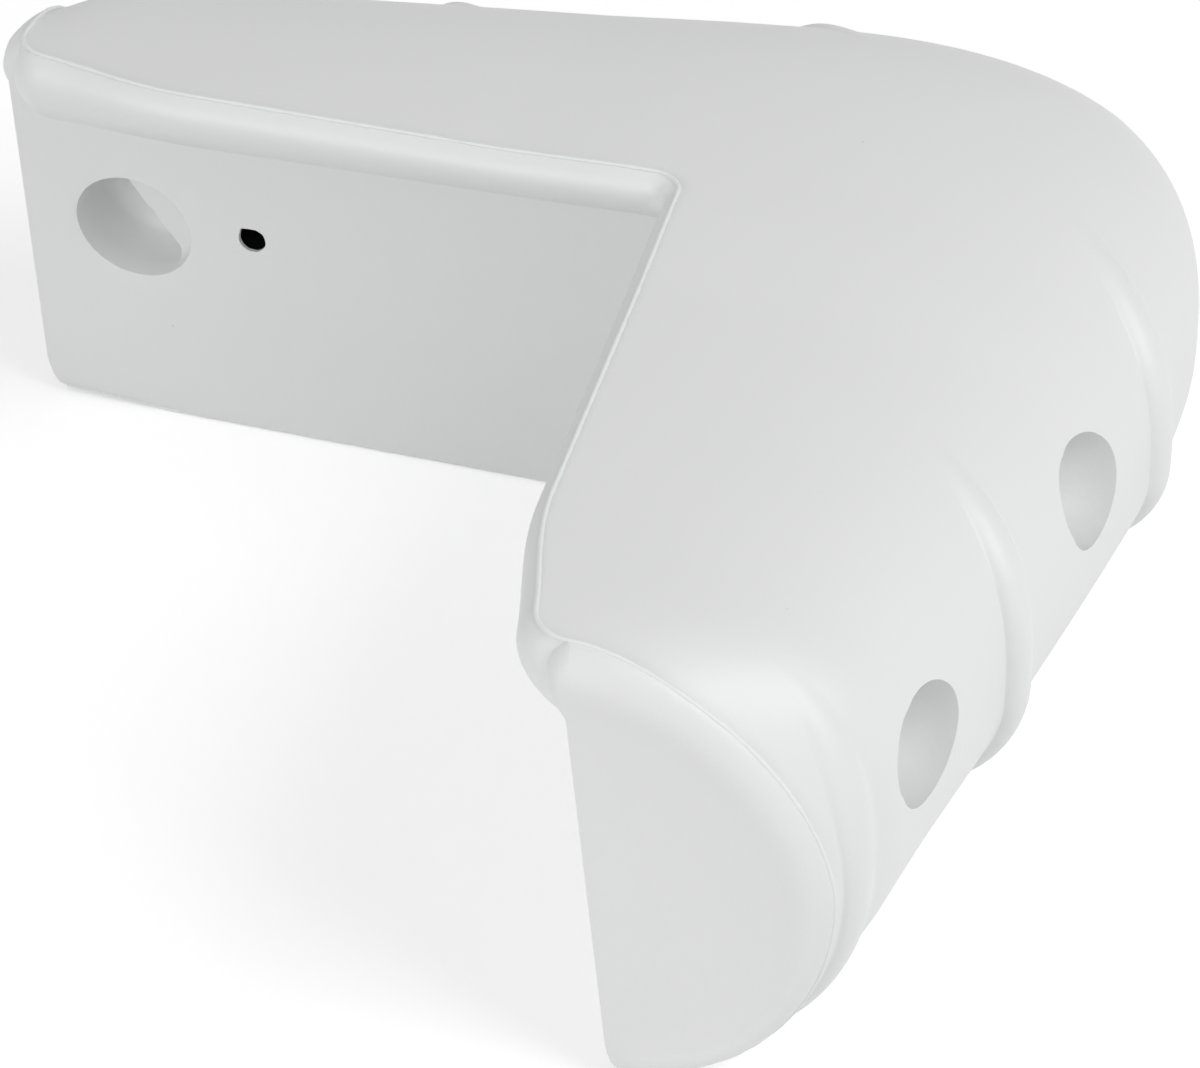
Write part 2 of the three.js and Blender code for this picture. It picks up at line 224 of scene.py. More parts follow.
ribOffsets = np.array([6.2, 5.3, 4.9, 4.6, 4.3, 3.9, 3.4, 2.8, 2.1, 1.4, 0.7, 0,
                       -0.7, -1.4, -2.1, -2.8, -3.4, -3.9, -4.3, -4.6, -4.9, -5.4, -6.2, -7.2])
between = [30, 42, 24]                               # columns after each rib
cornerColumns = seamAt - lip["cornerRadius"] + lip["cornerRadius"] * np.cos(np.linspace(0, pi / 2, 11))


def ribbedColumns(v):
    # column coordinates for a row at share v: they follow the ribs, so that each foot is one clean edge
    v = max(v, rib["fadeInFrom"])
    bunches = [ribColumn(k, ribOffsets, v) for k in range(3)]
    first = ribColumn(0, ribOffsets[:1], rib["fadeInFrom"])[0]
    neutral = np.concatenate([cornerColumns, np.linspace(cornerColumns[-1], first, 6)[1:-1]])
    parts = [seamAt - (seamAt - neutral) * (seamAt - bunches[0][0]) / (seamAt - first)]
    for bunch, count, after in zip(bunches, between, [bunches[1][0], bunches[2][0], diagonalColumn]):
        parts += [bunch, np.linspace(bunch[-1], after, count)[1:-1]]
    return np.concatenate(parts + [[diagonalColumn]])


def plainColumns(v):
    # for the hollow: it starts a wall's thickness short of the shell
    nearEnd = np.linspace(seamAt - arm["wall"], seamAt - 14, 7)
    onArm = np.linspace(nearEnd[-1], pivotAt, 24)[1:]
    onCorner = np.linspace(pivotAt, diagonalColumn, 18)[1:]
    return np.concatenate([nearEnd, onArm, onCorner])


rowCounts = {"face": 42, "root": 5, "lip": 24, "shoulder": 66, "belly": 46, "foot": 6}
midArm = 90.0                                        # its section says how the rows are spaced


def shellGrid(columnsFor, detail, inset=0.0):
    # points of half the shell [column, row], its end section, and the share v of every row;
    # with an inset, the same for the hollow inside
    steps = {key: max(4, round(count * detail)) for key, count in rowCounts.items()}
    typical = stationAt(np.array(midArm))
    seatGap = hollow["seatGap"] if inset else 0.0
    rows = []

    def addRow(st, distance, height, v, turnIn=0.0):
        # turnIn draws the row back from the end, as the parting line is drawn back at the lip
        drawn = lip["tipTurnIn"] * turnIn * smooth(st["at"], seamAt - lip["turnInRun"], seamAt - inset)
        rows.append((place({**st, "at": st["at"] - drawn}, distance, height), distance, height, v, turnIn))

    footColumns, topColumns = columnsFor(1.0), columnsFor(0.0)
    for f in np.linspace(0, 1, steps["face"] + 1):
        st = stationAt(lerp(footColumns, topColumns, smooth(f, 0, 1)))
        footRound = st["footRound"] * (inset == 0)
        rootRound = lip["rootFillet"] * (inset == 0)
        height = lerp(st["bottom"] + inset + footRound, st["seat"] + seatGap - rootRound, f)
        addRow(st, rounded(st, arm["pivotOffset"] + inset - lean * height, lip["faceRound"]), height, -1.0)
    st = stationAt(topColumns)
    seat = st["seat"] + seatGap
    root = (rounded(st, arm["pivotOffset"] + inset - lean * seat, lip["faceRound"]), seat)
    edge = shoulderPoint(st, 0.0, inset)
    bulge = lip["bulge"] * lerp(1, 1 / np.cos(st["turn"]), 0.5)
    curl = hollow["curlReach"] if inset else lip["curlReach"]
    rise = hollow["seatRise"] if inset else 0.0
    band = [root, (lerp(root[0], edge[0], curl), lerp(seat + rise, edge[1], lip["curlRise"])),
            (edge[0] - bulge, lerp(edge[1], seat, lip["bulgeFall"])), edge]
    start = 0.0
    if inset == 0:
        start = 0.05
        below = (rounded(st, arm["pivotOffset"] - lean * (seat - rootRound), lip["faceRound"]), seat - rootRound)
        for t in np.linspace(0, 1, steps["root"] + 1)[1:-1]:
            addRow(st, *bezier([below, root, bezier(band, start)], t), -1.0)
    for t in np.linspace(start, 1, steps["lip"] + 1)[:-1]:
        addRow(st, *bezier(band, t), -1.0, smooth(t, 0.2, 1))
    for t in evenSteps(lambda t: shoulderPoint(typical, t), steps["shoulder"])[:-1]:
        st = stationAt(columnsFor(t / 2))
        addRow(st, *shoulderPoint(st, t, inset), t / 2, 1 - smooth(t, 0, lip["turnInFade"]))
    st = stationAt(footColumns)
    lastShare = np.arccos((st["footRound"] / (st["reach"] - arm["pivotOffset"])) ** (st["belly"] / 2)) * 2 / pi
    for t in evenSteps(lambda t: bellyPoint(typical, t), steps["belly"])[:-1]:
        st = stationAt(columnsFor(0.5 + t / 2))
        addRow(st, *bellyPoint(st, t * (lastShare if inset == 0 else 1), inset), 0.5 + t / 2)
    if inset == 0:
        st = stationAt(footColumns)
        corner = (rounded(st, arm["pivotOffset"] - lean * st["bottom"], lip["faceRound"]), st["bottom"])
        above = st["bottom"] + st["footRound"]
        start = bellyPoint(st, lastShare)
        stop = (rounded(st, arm["pivotOffset"] - lean * above, lip["faceRound"]), above)
        for t in np.linspace(0, 1, steps["foot"] + 1)[:-1]:
            addRow(st, *bezier([start, corner, stop], t), 1.0)
    points = np.stack([row[0] for row in rows], 1)
    last = [(row[1][0], row[2][0], row[4]) for row in rows]
    return points, np.array(last), np.array([row[3] for row in rows])


def endRings(last, bands, dishRings, inset=0.0):
    # rings from the middle of the flat end out to the parting line
    out, height, turnIn = last[:, 0] - arm["pivotOffset"], last[:, 1], last[:, 2]
    drop = arm["outermostDrop"]
    row = np.arange(len(out))
    edge, outer = int(np.argmax(height)), int(np.argmax(out))
    root = max(j for j in range(edge) if out[j] >= -lean * height[j] + inset - 1e-6)
    top = -drop + (height[edge] + drop) * armEnd["flatTop"]
    foot = -drop + (height[0] + drop) * armEnd["flatBottom"]

    # the flat's own outline: a smaller copy of the section
    flatHeight = -drop + (height + drop) * np.where(height > -drop, armEnd["flatTop"], armEnd["flatBottom"])
    flatOut = out * lerp(armEnd["flatWidth"], 1, np.clip((-drop - height) / (arm["foot"] - drop), 0, 1))
    # the inner face runs on to the flat's edge, and the lip wraps round to the flat's top corner
    corner = armEnd["cornerRound"]
    onLip = (row > root) & (row <= edge)
    turn = np.clip((row - root) / (edge - root), 0, 1) * pi / 2
    onFace = foot + (height - height[0]) / (height[root] - height[0]) * (top - corner - foot)
    flatHeight = np.where(row <= root, onFace, flatHeight)
    flatHeight = np.where(onLip, top - corner * (1 - np.sin(turn)), flatHeight)
    flatOut = np.where(row <= edge, -lean * flatHeight + inset + corner * (1 - np.cos(turn)) * onLip, flatOut)
    start = flatOut[edge]
    spread = (out - out[edge]) / (out[outer] - out[edge])
    flatOut = np.where((row > edge) & (row <= outer), start + (flatOut[outer] - start) * spread, flatOut)
    flatOut = np.maximum(flatOut, -lean * flatHeight + inset)

    # the end swells a little, but not where it meets the inner face
    clearOfFace = np.where(row <= edge, np.sin(turn) * onLip, 1.0)
    faceGap = flatOut + lean * flatHeight - inset
    clearOfFace = np.where(row > outer, smooth(faceGap, 0, armEnd["swellClear"]), clearOfFace)
    middle = np.array([flatOut.mean(), flatHeight.mean()])
    rings = []

    def ring(share, at, shrink=1.0):
        away, up = lerp(out, flatOut, share), lerp(height, flatHeight, share)
        away, up = middle[0] + (away - middle[0]) * shrink, middle[1] + (up - middle[1]) * shrink
        rings.append(place({"at": at, "turn": np.zeros(len(out))}, away + arm["pivotOffset"], up))

    end = arm["length"] - inset
    for shrink in np.linspace(0, 1, dishRings + 1)[1:-1]:
        dish = armEnd["dish"] * (1 - smooth(shrink, 0.3, 1)) * (inset == 0)
        ring(1, np.full(len(out), end - dish), shrink)
    for i in range(bands, 0, -1):
        share = 1 - cos(i / bands * pi / 2)              # a quarter round, from the parting line to the flat
        rise = sin(i / bands * pi / 2)
        ring(share, end - (armEnd["round"] + lip["tipTurnIn"] * turnIn) * (1 - rise)
             + armEnd["swell"] * sin(pi * share) * clearOfFace)
    return np.stack(rings)


def closedShell(name, columnsFor, detail, bands, dishRings, inset=0.0, shape=None):
    # both halves joined at the mirror plane, and closed at the ends
    half, last, girth = shellGrid(columnsFor, detail, inset)
    half = np.concatenate([endRings(last, bands, dishRings, inset), half])
    if shape:
        half = shape(half)
    rings = np.concatenate([half, half[-2::-1][:, :, swap]])
    ringCount, count = rings.shape[:2]
    points = rings.reshape(-1, 3)
    a = np.arange(ringCount - 1)[:, None] * count + np.arange(count)
    b = np.arange(ringCount - 1)[:, None] * count + (np.arange(count) + 1) % count
    quads = np.stack([a, a + count, b + count, b], -1).reshape(-1, 4).tolist()
    for ring, flip in ((0, False), (ringCount - 1, True)):
        hub = len(points)
        points = np.concatenate([points, rings[ring].mean(0)[None]])
        for j in range(count):
            pair = [ring * count + j, ring * count + (j + 1) % count]
            quads.append([hub] + (pair[::-1] if flip else pair))
    mesh = bpy.data.meshes.new(name)
    mesh.from_pydata(((points + deckCorner) * mm).tolist(), [], quads)
    mesh.update()
    # girth: how far round the section each point lies, and -1 off the ribbed sides
    onSides = np.tile(girth, (ringCount, 1))
    endCount = bands + dishRings - 1
    onSides[:endCount] = onSides[ringCount - endCount:] = -1
    values = np.concatenate([onSides.ravel(), [-1.0, -1.0]])
    mesh.attributes.new("girth", "FLOAT", "POINT").data.foreach_set("value", values.astype(np.float32))
    piece = bpy.data.objects.new(name, mesh)
    bpy.context.scene.collection.objects.link(piece)
    return piece, rings, girth


# Mounting tunnels and blind pockets
bore = {
    "innerAt": 153.0, "innerDrop": 28.5, "outerAt": 145.5, "outerDrop": 13.5, "spacing": 81.0, "clear": 25.0,
    "radius": 10.2, "draft": 0.02, "innerRadius": 14.2, "innerFlare": 1.0, "pocketDepth": 34.0,
    "webDepth": 14.0, "webHole": 6.3, "stepDepth": 5.8, "stepSide": 152.0, "stepEdge": 2.4,
    "mouthWiden": 2.2, "mouthShift": 3.4, "mouthDepth": 8.0, "mouthRun": 20.0, "mouthNeck": 0.6,
    "innerDip": 0.8, "innerReach": 4.0, "dipDepth": 22.0,
    "lineDepth": 0.09, "lineCount": 26, "mouthLineDepth": 0.08, "mouthLineCount": 22, "lineWidth": 0.05,
    "stepTrim": 0.28, "webTrim": 0.16,
}
# how the bores end, as depth and radius counted from the place where each begins
boreEnds = {
    "outer": [(-1.2, 0.1), (-0.35, -0.3), (0, -1.2)],
    "pocket": [(-2, 0), (-0.6, -0.6), (0, -2)],
    "step": [(0, -2.2), (0.4, -1.3), (1.4, -0.5), (2.5, -0.1)],
    "dish": [(0, -7.5), (0.4, -5), (1.6, -2.8), (3.5, -1.2)],
    "dishRim": [(0, -0.1), (2, 0.1), (6, -0.2)],
}
vent = {
    "at": 123.5, "drop": 26.0, "radius": 3.4, "rim": 1.2, "widen": 2.2, "trim": 0.07,
    "nickAt": 2.3, "nickWidth": 0.22, "nickDepth": 0.45,
}


def beside(at, out, drop):
    # a point of the left arm, from the deck corner
    return along * at + outward * out - np.array([0, 0, drop])


innerMouth = beside(bore["innerAt"], lean * bore["innerDrop"], bore["innerDrop"])
outerMouth = beside(bore["outerAt"], armWidth(bore["outerAt"]), bore["outerDrop"])
boreDepth = float(np.linalg.norm(innerMouth - outerMouth))
inwardAxis = (innerMouth - outerMouth) / boreDepth
thicker = armWidth(bore["outerAt"] - bore["spacing"]) - armWidth(bore["outerAt"])
pocketMouth = outerMouth - along * bore["spacing"] + inwardAxis * thicker / (inwardAxis @ outward)


def softenMouth(points, mouth, axis, radius, towards, dip, reach):
    # rolls one side of a mouth's rim inwards, on the side that `towards` points to
    towards = towards - (towards @ axis) * axis
    towards = towards / np.linalg.norm(towards)
    away = points - mouth
    deep = away @ axis
    radial = away - deep[..., None] * axis
    distance = np.linalg.norm(radial, axis=-1) + 1e-9
    facing = 0.5 + 0.5 * (radial @ towards) / distance
    near = 1 - np.clip((distance - radius) / reach, 0, 1)
    amount = dip * facing ** 1.5 * near ** 2 * (abs(deep) < bore["dipDepth"])
    return points + amount[..., None] * axis


def mouldMouths(points):
    lowTip = along * 0.8 - np.array([0, 0, 1.0])
    return softenMouth(points, innerMouth, -inwardAxis, bore["innerRadius"], lowTip,
                       bore["innerDip"], bore["innerReach"])


shell, shellRings, shellGirth = closedShell("bumperShell", ribbedColumns, 1.0, 12, 8, shape=mouldMouths)
print("shell laid out:", len(shell.data.polygons), "faces")


def addNode(tree, kind, inputs=None, **settings):
    made = tree.nodes.new(kind)
    for key, value in settings.items():
        setattr(made, key, value)
    for key, value in (inputs or {}).items():
        if isinstance(value, bpy.types.NodeSocket):
            tree.links.new(value, made.inputs[key])
        else:
            made.inputs[key].default_value = value
    return made


def calc(tree, operation, *values):
    return addNode(tree, "ShaderNodeMath", dict(enumerate(values)), operation=operation).outputs[0]


def dot(tree, a, b):
    return addNode(tree, "ShaderNodeVectorMath", {0: a, 1: b}, operation="DOT_PRODUCT").outputs["Value"]


def newTree(name, inputs):
    tree = bpy.data.node_groups.new(name, "GeometryNodeTree")
    tree.interface.new_socket("Geometry", in_out="INPUT", socket_type="NodeSocketGeometry")
    for label, (kind, value) in inputs.items():
        made = tree.interface.new_socket(label, in_out="INPUT", socket_type="NodeSocket" + kind)
        if value is not None:
            made.default_value = value
    tree.interface.new_socket("Geometry", in_out="OUTPUT", socket_type="NodeSocketGeometry")
    return tree, addNode(tree, "NodeGroupInput").outputs, addNode(tree, "NodeGroupOutput")


def bakePiece(piece):
    # turns what the modifiers make into a plain mesh, and takes them off
    baked = bpy.data.meshes.new_from_object(piece.evaluated_get(bpy.context.evaluated_depsgraph_get()))
    piece.modifiers.clear()
    piece.data = baked
    baked.name = piece.name


def runTree(piece, tree, values):
    modifier = piece.modifiers.new(tree.name, "NODES")
    modifier.node_group = tree
    for item in tree.interface.items_tree:
        if item.in_out == "INPUT" and item.name in values:
            modifier[item.identifier] = values[item.name]
    bakePiece(piece)


# Satin plastic, with a faint orange peel from the mould and a few specks of grit
plastic = {
    "colour": (0.80, 0.81, 0.804, 1), "shade": (0.765, 0.775, 0.768, 1), "clouds": 14.0,
    "roughness": 0.42, "duller": 0.07, "glossier": 0.05, "peel": 750.0, "peelDepth": 0.00004,
    "grit": 160.0, "gritRarity": 0.975, "gritColour": (0.35, 0.35, 0.33, 1),
    "gritEdge": (0.02, 0.05), "gritStrength": 0.4,
}
beadPlastic = {"colour": (0.84, 0.855, 0.855, 1), "shade": (0.79, 0.81, 0.81, 1), "roughness": 0.5,
               "peelDepth": 0.00002}


def satinPlastic(name, look):
    material = bpy.data.materials.new(name)
    material.use_nodes = True
    tree = material.node_tree
    shader = tree.nodes["Principled BSDF"]
    here = addNode(tree, "ShaderNodeTexCoord").outputs["Object"]
    clouds = addNode(tree, "ShaderNodeTexNoise", {"Vector": here, "Scale": look["clouds"], "Detail": 4.0})
    tint = addNode(tree, "ShaderNodeMix", {0: clouds.outputs["Fac"], 6: look["shade"], 7: look["colour"]},
                   data_type="RGBA")
    cells = addNode(tree, "ShaderNodeTexVoronoi", {"Vector": here, "Scale": look["grit"]})
    chance = addNode(tree, "ShaderNodeTexWhiteNoise", {"Vector": cells.outputs["Position"]}).outputs["Value"]
    rare = calc(tree, "GREATER_THAN", chance, look["gritRarity"])
    grain = addNode(tree, "ShaderNodeMapRange", {"Value": cells.outputs["Distance"], "From Min": look["gritEdge"][0],
                    "From Max": look["gritEdge"][1], "To Min": look["gritStrength"], "To Max": 0.0})
    speck = calc(tree, "MULTIPLY", rare, grain.outputs[0])
    spotted = addNode(tree, "ShaderNodeMix", {0: speck, 6: tint.outputs[2], 7: look["gritColour"]},
                      data_type="RGBA")
    tree.links.new(spotted.outputs[2], shader.inputs["Base Color"])
    rough = addNode(tree, "ShaderNodeMapRange", {"Value": clouds.outputs["Fac"],
                    "To Min": look["roughness"] - look["glossier"], "To Max": look["roughness"] + look["duller"]})
    tree.links.new(rough.outputs[0], shader.inputs["Roughness"])
    peel = addNode(tree, "ShaderNodeTexNoise", {"Vector": here, "Scale": look["peel"], "Detail": 2.0})
    bump = addNode(tree, "ShaderNodeBump", {"Height": peel.outputs["Fac"], "Distance": look["peelDepth"],
                                            "Strength": 1.0})
    tree.links.new(bump.outputs[0], shader.inputs["Normal"])
    return material


bodyPlastic = satinPlastic("bodyPlastic", plastic)
seamPlastic = satinPlastic("seamPlastic", {**plastic, **beadPlastic})
print("plastic mixed")


def ribTree():
    # raises the ribs out of the shell: a round bar in each rib's plane, softer on its corner side
    tree, given, result = newTree("raiseRibs", {
        "Half width": ("Float", 1.0), "Swing": ("Float", 0.0), "Corner side": ("Float", 1.0),
        "Tip blend": ("Float", 0.1), "Corner blend": ("Float", 0.1),
        "Height 1": ("Float", 1.0), "Height 2": ("Float", 1.0), "Height 3": ("Float", 1.0),
        "Fade in from": ("Float", 0.0), "Fade in to": ("Float", 1.0),
        "Fade out from": ("Float", 0.0), "Fade out to": ("Float", 1.0),
        "Plastic": ("Material", None),
    })
    girth = addNode(tree, "GeometryNodeInputNamedAttribute", {"Name": "girth"}).outputs[0]
    position = addNode(tree, "GeometryNodeInputPosition").outputs[0]
    local = addNode(tree, "ShaderNodeVectorMath", {0: position, 1: tuple(deckCorner * mm)},
                    operation="SUBTRACT").outputs[0]
    local = addNode(tree, "ShaderNodeVectorMath", {0: local, "Scale": 1 / mm}, operation="SCALE").outputs[0]
    fadeIn = addNode(tree, "ShaderNodeMapRange", {"Value": girth, "From Min": given["Fade in from"],
                     "From Max": given["Fade in to"]}, interpolation_type="SMOOTHSTEP").outputs[0]
    fadeOut = addNode(tree, "ShaderNodeMapRange", {"Value": girth, "From Min": given["Fade out from"],
                      "From Max": given["Fade out to"], "To Min": 1.0, "To Max": 0.0},
                      interpolation_type="SMOOTHSTEP").outputs[0]
    sunk = calc(tree, "SUBTRACT", 1.0, calc(tree, "MULTIPLY", fadeIn, fadeOut))
    under = calc(tree, "MAXIMUM", 0.0, calc(tree, "MULTIPLY_ADD", girth, 2.0, -1.0))
    swing = calc(tree, "MULTIPLY", given["Swing"], calc(tree, "MULTIPLY", under, under))
    total = None
    for mirrored in (False, True):
        axis, side = (along[swap], outward[swap]) if mirrored else (along, outward)
        half = dot(tree, local, (1, -1, 0) if mirrored else (-1, 1, 0))
        onHalf = calc(tree, "GREATER_THAN", half, 0.0)
        alongHere = calc(tree, "SUBTRACT", dot(tree, local, tuple(axis)), swing)
        outHere = dot(tree, local, tuple(side))
        for k, (start, turn) in enumerate(zip(rib["places"], rib["turns"])):
            slope = tan(radians(turn))
            away = calc(tree, "SUBTRACT", alongHere, start)
            out = calc(tree, "SUBTRACT", outHere, float(armWidth(start)))
            offset = calc(tree, "MULTIPLY", calc(tree, "SUBTRACT", away, calc(tree, "MULTIPLY", out, slope)),
                          cos(radians(turn)))
            tipSide = calc(tree, "GREATER_THAN", offset, 0.0)
            spread = addNode(tree, "ShaderNodeMix", {0: tipSide, 2: given["Corner side"], 3: 1.0}).outputs[0]
            blend = addNode(tree, "ShaderNodeMix", {0: tipSide, 2: given["Corner blend"],
                                                    3: given["Tip blend"]}).outputs[0]
            offset = calc(tree, "DIVIDE", offset, spread)
            height = given[f"Height {k + 1}"]
            # radius of the bar from its half width and height
            squares = calc(tree, "ADD", calc(tree, "POWER", given["Half width"], 2.0), calc(tree, "POWER", height, 2.0))
            radius = calc(tree, "DIVIDE", squares, calc(tree, "MULTIPLY", height, 2.0))
            chord = calc(tree, "SUBTRACT", calc(tree, "POWER", radius, 2.0), calc(tree, "MULTIPLY", offset, offset))
            bar = calc(tree, "SUBTRACT", calc(tree, "SQRT", calc(tree, "MAXIMUM", chord, 0.0)),
                       calc(tree, "SUBTRACT", radius, height))
            bar = calc(tree, "SUBTRACT", bar, calc(tree, "MULTIPLY", sunk, calc(tree, "ADD", height, 1.0)))
            lift = calc(tree, "MULTIPLY", calc(tree, "SMOOTH_MAX", bar, 0.0, blend), onHalf)
            total = lift if total is None else calc(tree, "ADD", total, lift)
    normal = addNode(tree, "GeometryNodeInputNormal").outputs[0]
    step = addNode(tree, "ShaderNodeVectorMath", {0: normal, "Scale": calc(tree, "MULTIPLY", total, mm)},
                   operation="SCALE").outputs[0]
    raised = addNode(tree, "GeometryNodeSetPosition", {"Geometry": given["Geometry"], "Offset": step})
    plain = addNode(tree, "GeometryNodeRealizeInstances", {"Geometry": raised.outputs[0]})
    coated = addNode(tree, "GeometryNodeSetMaterial", {"Geometry": plain.outputs[0], "Material": given["Plastic"]})
    tree.links.new(coated.outputs[0], result.inputs[0])
    return tree


runTree(shell, ribTree(), {
    "Half width": rib["halfWidth"], "Swing": rib["swing"], "Corner side": rib["cornerSide"],
    "Tip blend": rib["tipBlend"], "Corner blend": rib["cornerBlend"],
    "Height 1": rib["heights"][0], "Height 2": rib["heights"][1], "Height 3": rib["heights"][2],
    "Fade in from": rib["fadeInFrom"], "Fade in to": rib["fadeInTo"],
    "Fade out from": rib["fadeOutFrom"], "Fade out to": rib["fadeOutTo"], "Plastic": bodyPlastic,
})
print("ribs raised")


def plug(name, mouth, axis, profile, sides=96, waver=None, mirrored=False, towards=None, flat=None):
    # round cutter: profile gives depth, radius and if need be a shift `towards` one side, waver adds to the radius;
    # flat takes off one side, at this angle and distance from the middle
    axis = axis / np.linalg.norm(axis)
    across = np.cross(axis, [0, 0, 1.0])
    across /= np.linalg.norm(across)
    upward = np.cross(across, axis)
    angle = np.linspace(0, 2 * pi, sides, endpoint=False)
    extra = waver(angle) if waver else 0 * angle
    rings = []
    for depth, radius, *shift in profile:
        centre = mouth + axis * depth
        if shift:
            side = towards - (towards @ axis) * axis
            centre = centre + side / np.linalg.norm(side) * shift[0]
        radii = radius + extra
        if flat:
            radii = np.minimum(radius, (flat[1] + extra) / np.maximum(np.cos(angle - flat[0]), 0.05))
        rings.append(centre + (radii * np.cos(angle))[:, None] * across + (radii * np.sin(angle))[:, None] * upward)
    points = np.concatenate(rings + [rings[0].mean(0)[None], rings[-1].mean(0)[None]])
    if mirrored:
        points = points[:, swap]
    faces = []
    for i in range(len(profile) - 1):
        for j in range(sides):
            k = (j + 1) % sides
            faces.append([i * sides + j, (i + 1) * sides + j, (i + 1) * sides + k, i * sides + k])
    lastRing, hub = (len(profile) - 1) * sides, len(points) - 2
    for j in range(sides):
        k = (j + 1) % sides
        faces += [[hub, j, k], [hub + 1, lastRing + k, lastRing + j]]
    mesh = bpy.data.meshes.new(name)
    mesh.from_pydata(((points + deckCorner) * mm).tolist(), [], faces)
    if signedVolume(mesh) < 0:
        mesh.flip_normals()
    piece = bpy.data.objects.new(name, mesh)
    bpy.context.scene.collection.objects.link(piece)
    return piece


def signedVolume(mesh):
    copy = bmesh.new()
    copy.from_mesh(mesh)
    volume = copy.calc_volume(signed=True)
    copy.free()
    return volume


def cut(piece, cutters):
    for cutter in cutters:
        modifier = piece.modifiers.new("cut", "BOOLEAN")
        modifier.operation, modifier.solver, modifier.object = "DIFFERENCE", "MANIFOLD", cutter
    bakePiece(piece)
    for cutter in cutters:
        bpy.data.objects.remove(cutter)


def mouldLines(seed, depth, count):
    # shallow lines that run down a bore, as left by the pin that formed it
    dice = np.random.default_rng(seed)
    at, size = dice.uniform(0, 2 * pi, count), dice.uniform(-depth, depth, count)
    return lambda angle: sum(s * np.exp(-(((angle - a + pi) % (2 * pi) - pi) / bore["lineWidth"]) ** 2)
                             for a, s in zip(at, size))


def roughTrim(seed, depth):
    # uneven edge of a hole trimmed by hand
    dice = np.random.default_rng(seed)
    phase, size = dice.uniform(0, 2 * pi, 12), dice.uniform(0.2, 1, 12)
    return lambda angle: depth * sum(s * np.cos((n + 2) * angle + p) / (n + 2) ** 0.5
                                     for n, (p, s) in enumerate(zip(phase, size)))


def radiusAt(depth):
    return bore["radius"] - bore["draft"] * depth


def boreEnd(name, depth, radius):
    return [(depth + d, radius + r) for d, r in boreEnds[name]]


cavity = closedShell("cavity", plainColumns, 0.4, 4, 2, inset=arm["wall"])[0]
web, step = boreDepth - bore["webDepth"], boreDepth - bore["stepDepth"]
wall, clear, innerRadius = arm["wall"], bore["clear"], bore["innerRadius"]
cornerLow = -along + np.array([0, 0, -0.6])          # the side to which the outer mouths widen
tubes, bores = [], []                                # tubes stay solid in the hollow, bores go through everything
for mirrored in (False, True):
    n = int(mirrored)
    for mouth in (outerMouth, pocketMouth):
        wide, shift = bore["radius"] + bore["mouthWiden"], bore["mouthShift"]
        neck = bore["radius"] - bore["mouthNeck"]
        deep, run = bore["mouthDepth"], bore["mouthRun"]
        tubes.append(plug("mouthBoss", mouth, inwardAxis,
                          [(-clear, wide + wall, shift), (deep + 2, wide + wall, shift),
                           (run + 3, bore["radius"] + wall - bore["mouthNeck"], 0)],
                          mirrored=mirrored, towards=cornerLow))
        bores.append(plug("wideMouth", mouth, inwardAxis,
                          [(-clear, wide + 1.2, shift), (0, wide, shift), (deep * 0.6, wide - 0.4, shift * 0.9),
                           (deep, wide - 1.1, shift * 0.72), (run, neck, 0)],
                          waver=mouldLines(51 + n, bore["mouthLineDepth"], bore["mouthLineCount"]),
                          mirrored=mirrored, towards=cornerLow))
    tubes.append(plug("tunnelTube", outerMouth, inwardAxis,
                      [(-clear, radiusAt(-clear) + wall),
                       (boreDepth + clear, innerRadius + bore["innerFlare"] + wall)], mirrored=mirrored))
    deep = bore["pocketDepth"]
    tubes.append(plug("pocketTube", pocketMouth, inwardAxis,
                      [(-clear, radiusAt(-clear) + wall), (deep + wall, radiusAt(deep) + wall)], mirrored=mirrored))
    bores.append(plug("outerBore", outerMouth, inwardAxis,
                      [(-clear, radiusAt(-clear))] + boreEnd("outer", web - wall, radiusAt(web)),
                      waver=mouldLines(11 + n, bore["lineDepth"], bore["lineCount"]), mirrored=mirrored))
    bores.append(plug("pocketBore", pocketMouth, inwardAxis,
                      [(-clear, radiusAt(-clear))] + boreEnd("pocket", deep, radiusAt(deep)),
                      waver=mouldLines(21 + n, bore["lineDepth"], bore["lineCount"]), mirrored=mirrored))
    bores.append(plug("innerBore", outerMouth, inwardAxis,
                      boreEnd("step", step, innerRadius) + [(boreDepth + clear, innerRadius + bore["innerFlare"])],
                      mirrored=mirrored))
    bores.append(plug("dish", outerMouth, inwardAxis,
                      boreEnd("dish", web, innerRadius) + boreEnd("dishRim", step, innerRadius),
                      sides=160, waver=roughTrim(41 + n, bore["stepTrim"]), mirrored=mirrored,
                      flat=(radians(bore["stepSide"]), bore["stepEdge"])))
    bores.append(plug("webHole", outerMouth, inwardAxis,
                      [(web - wall - 0.6, bore["webHole"] + 0.2), (web - 0.1, bore["webHole"]),
                       (web + 1.5, bore["webHole"] + 0.1)],
                      waver=roughTrim(61 + n, bore["webTrim"]), mirrored=mirrored))
cut(cavity, tubes)


def ventTrim(angle):
    nick = np.exp(-(((angle - vent["nickAt"] + pi) % (2 * pi) - pi) / vent["nickWidth"]) ** 2)
    return roughTrim(5, vent["trim"])(angle) + vent["nickDepth"] * nick


skin = clear + lean * vent["drop"]                   # depth at which the vent meets the inner face
bores.append(plug("vent", beside(vent["at"], -clear, vent["drop"]), outward,
                  [(0, vent["radius"]), (skin + vent["rim"], vent["radius"] - 0.1),
                   (skin + vent["rim"] + 1, vent["radius"] + vent["widen"]),
                   (skin + wall + 5, vent["radius"] + 3)], waver=ventTrim))
cut(shell, [cavity] + bores)
print("bores cut:", len(shell.data.polygons), "faces")


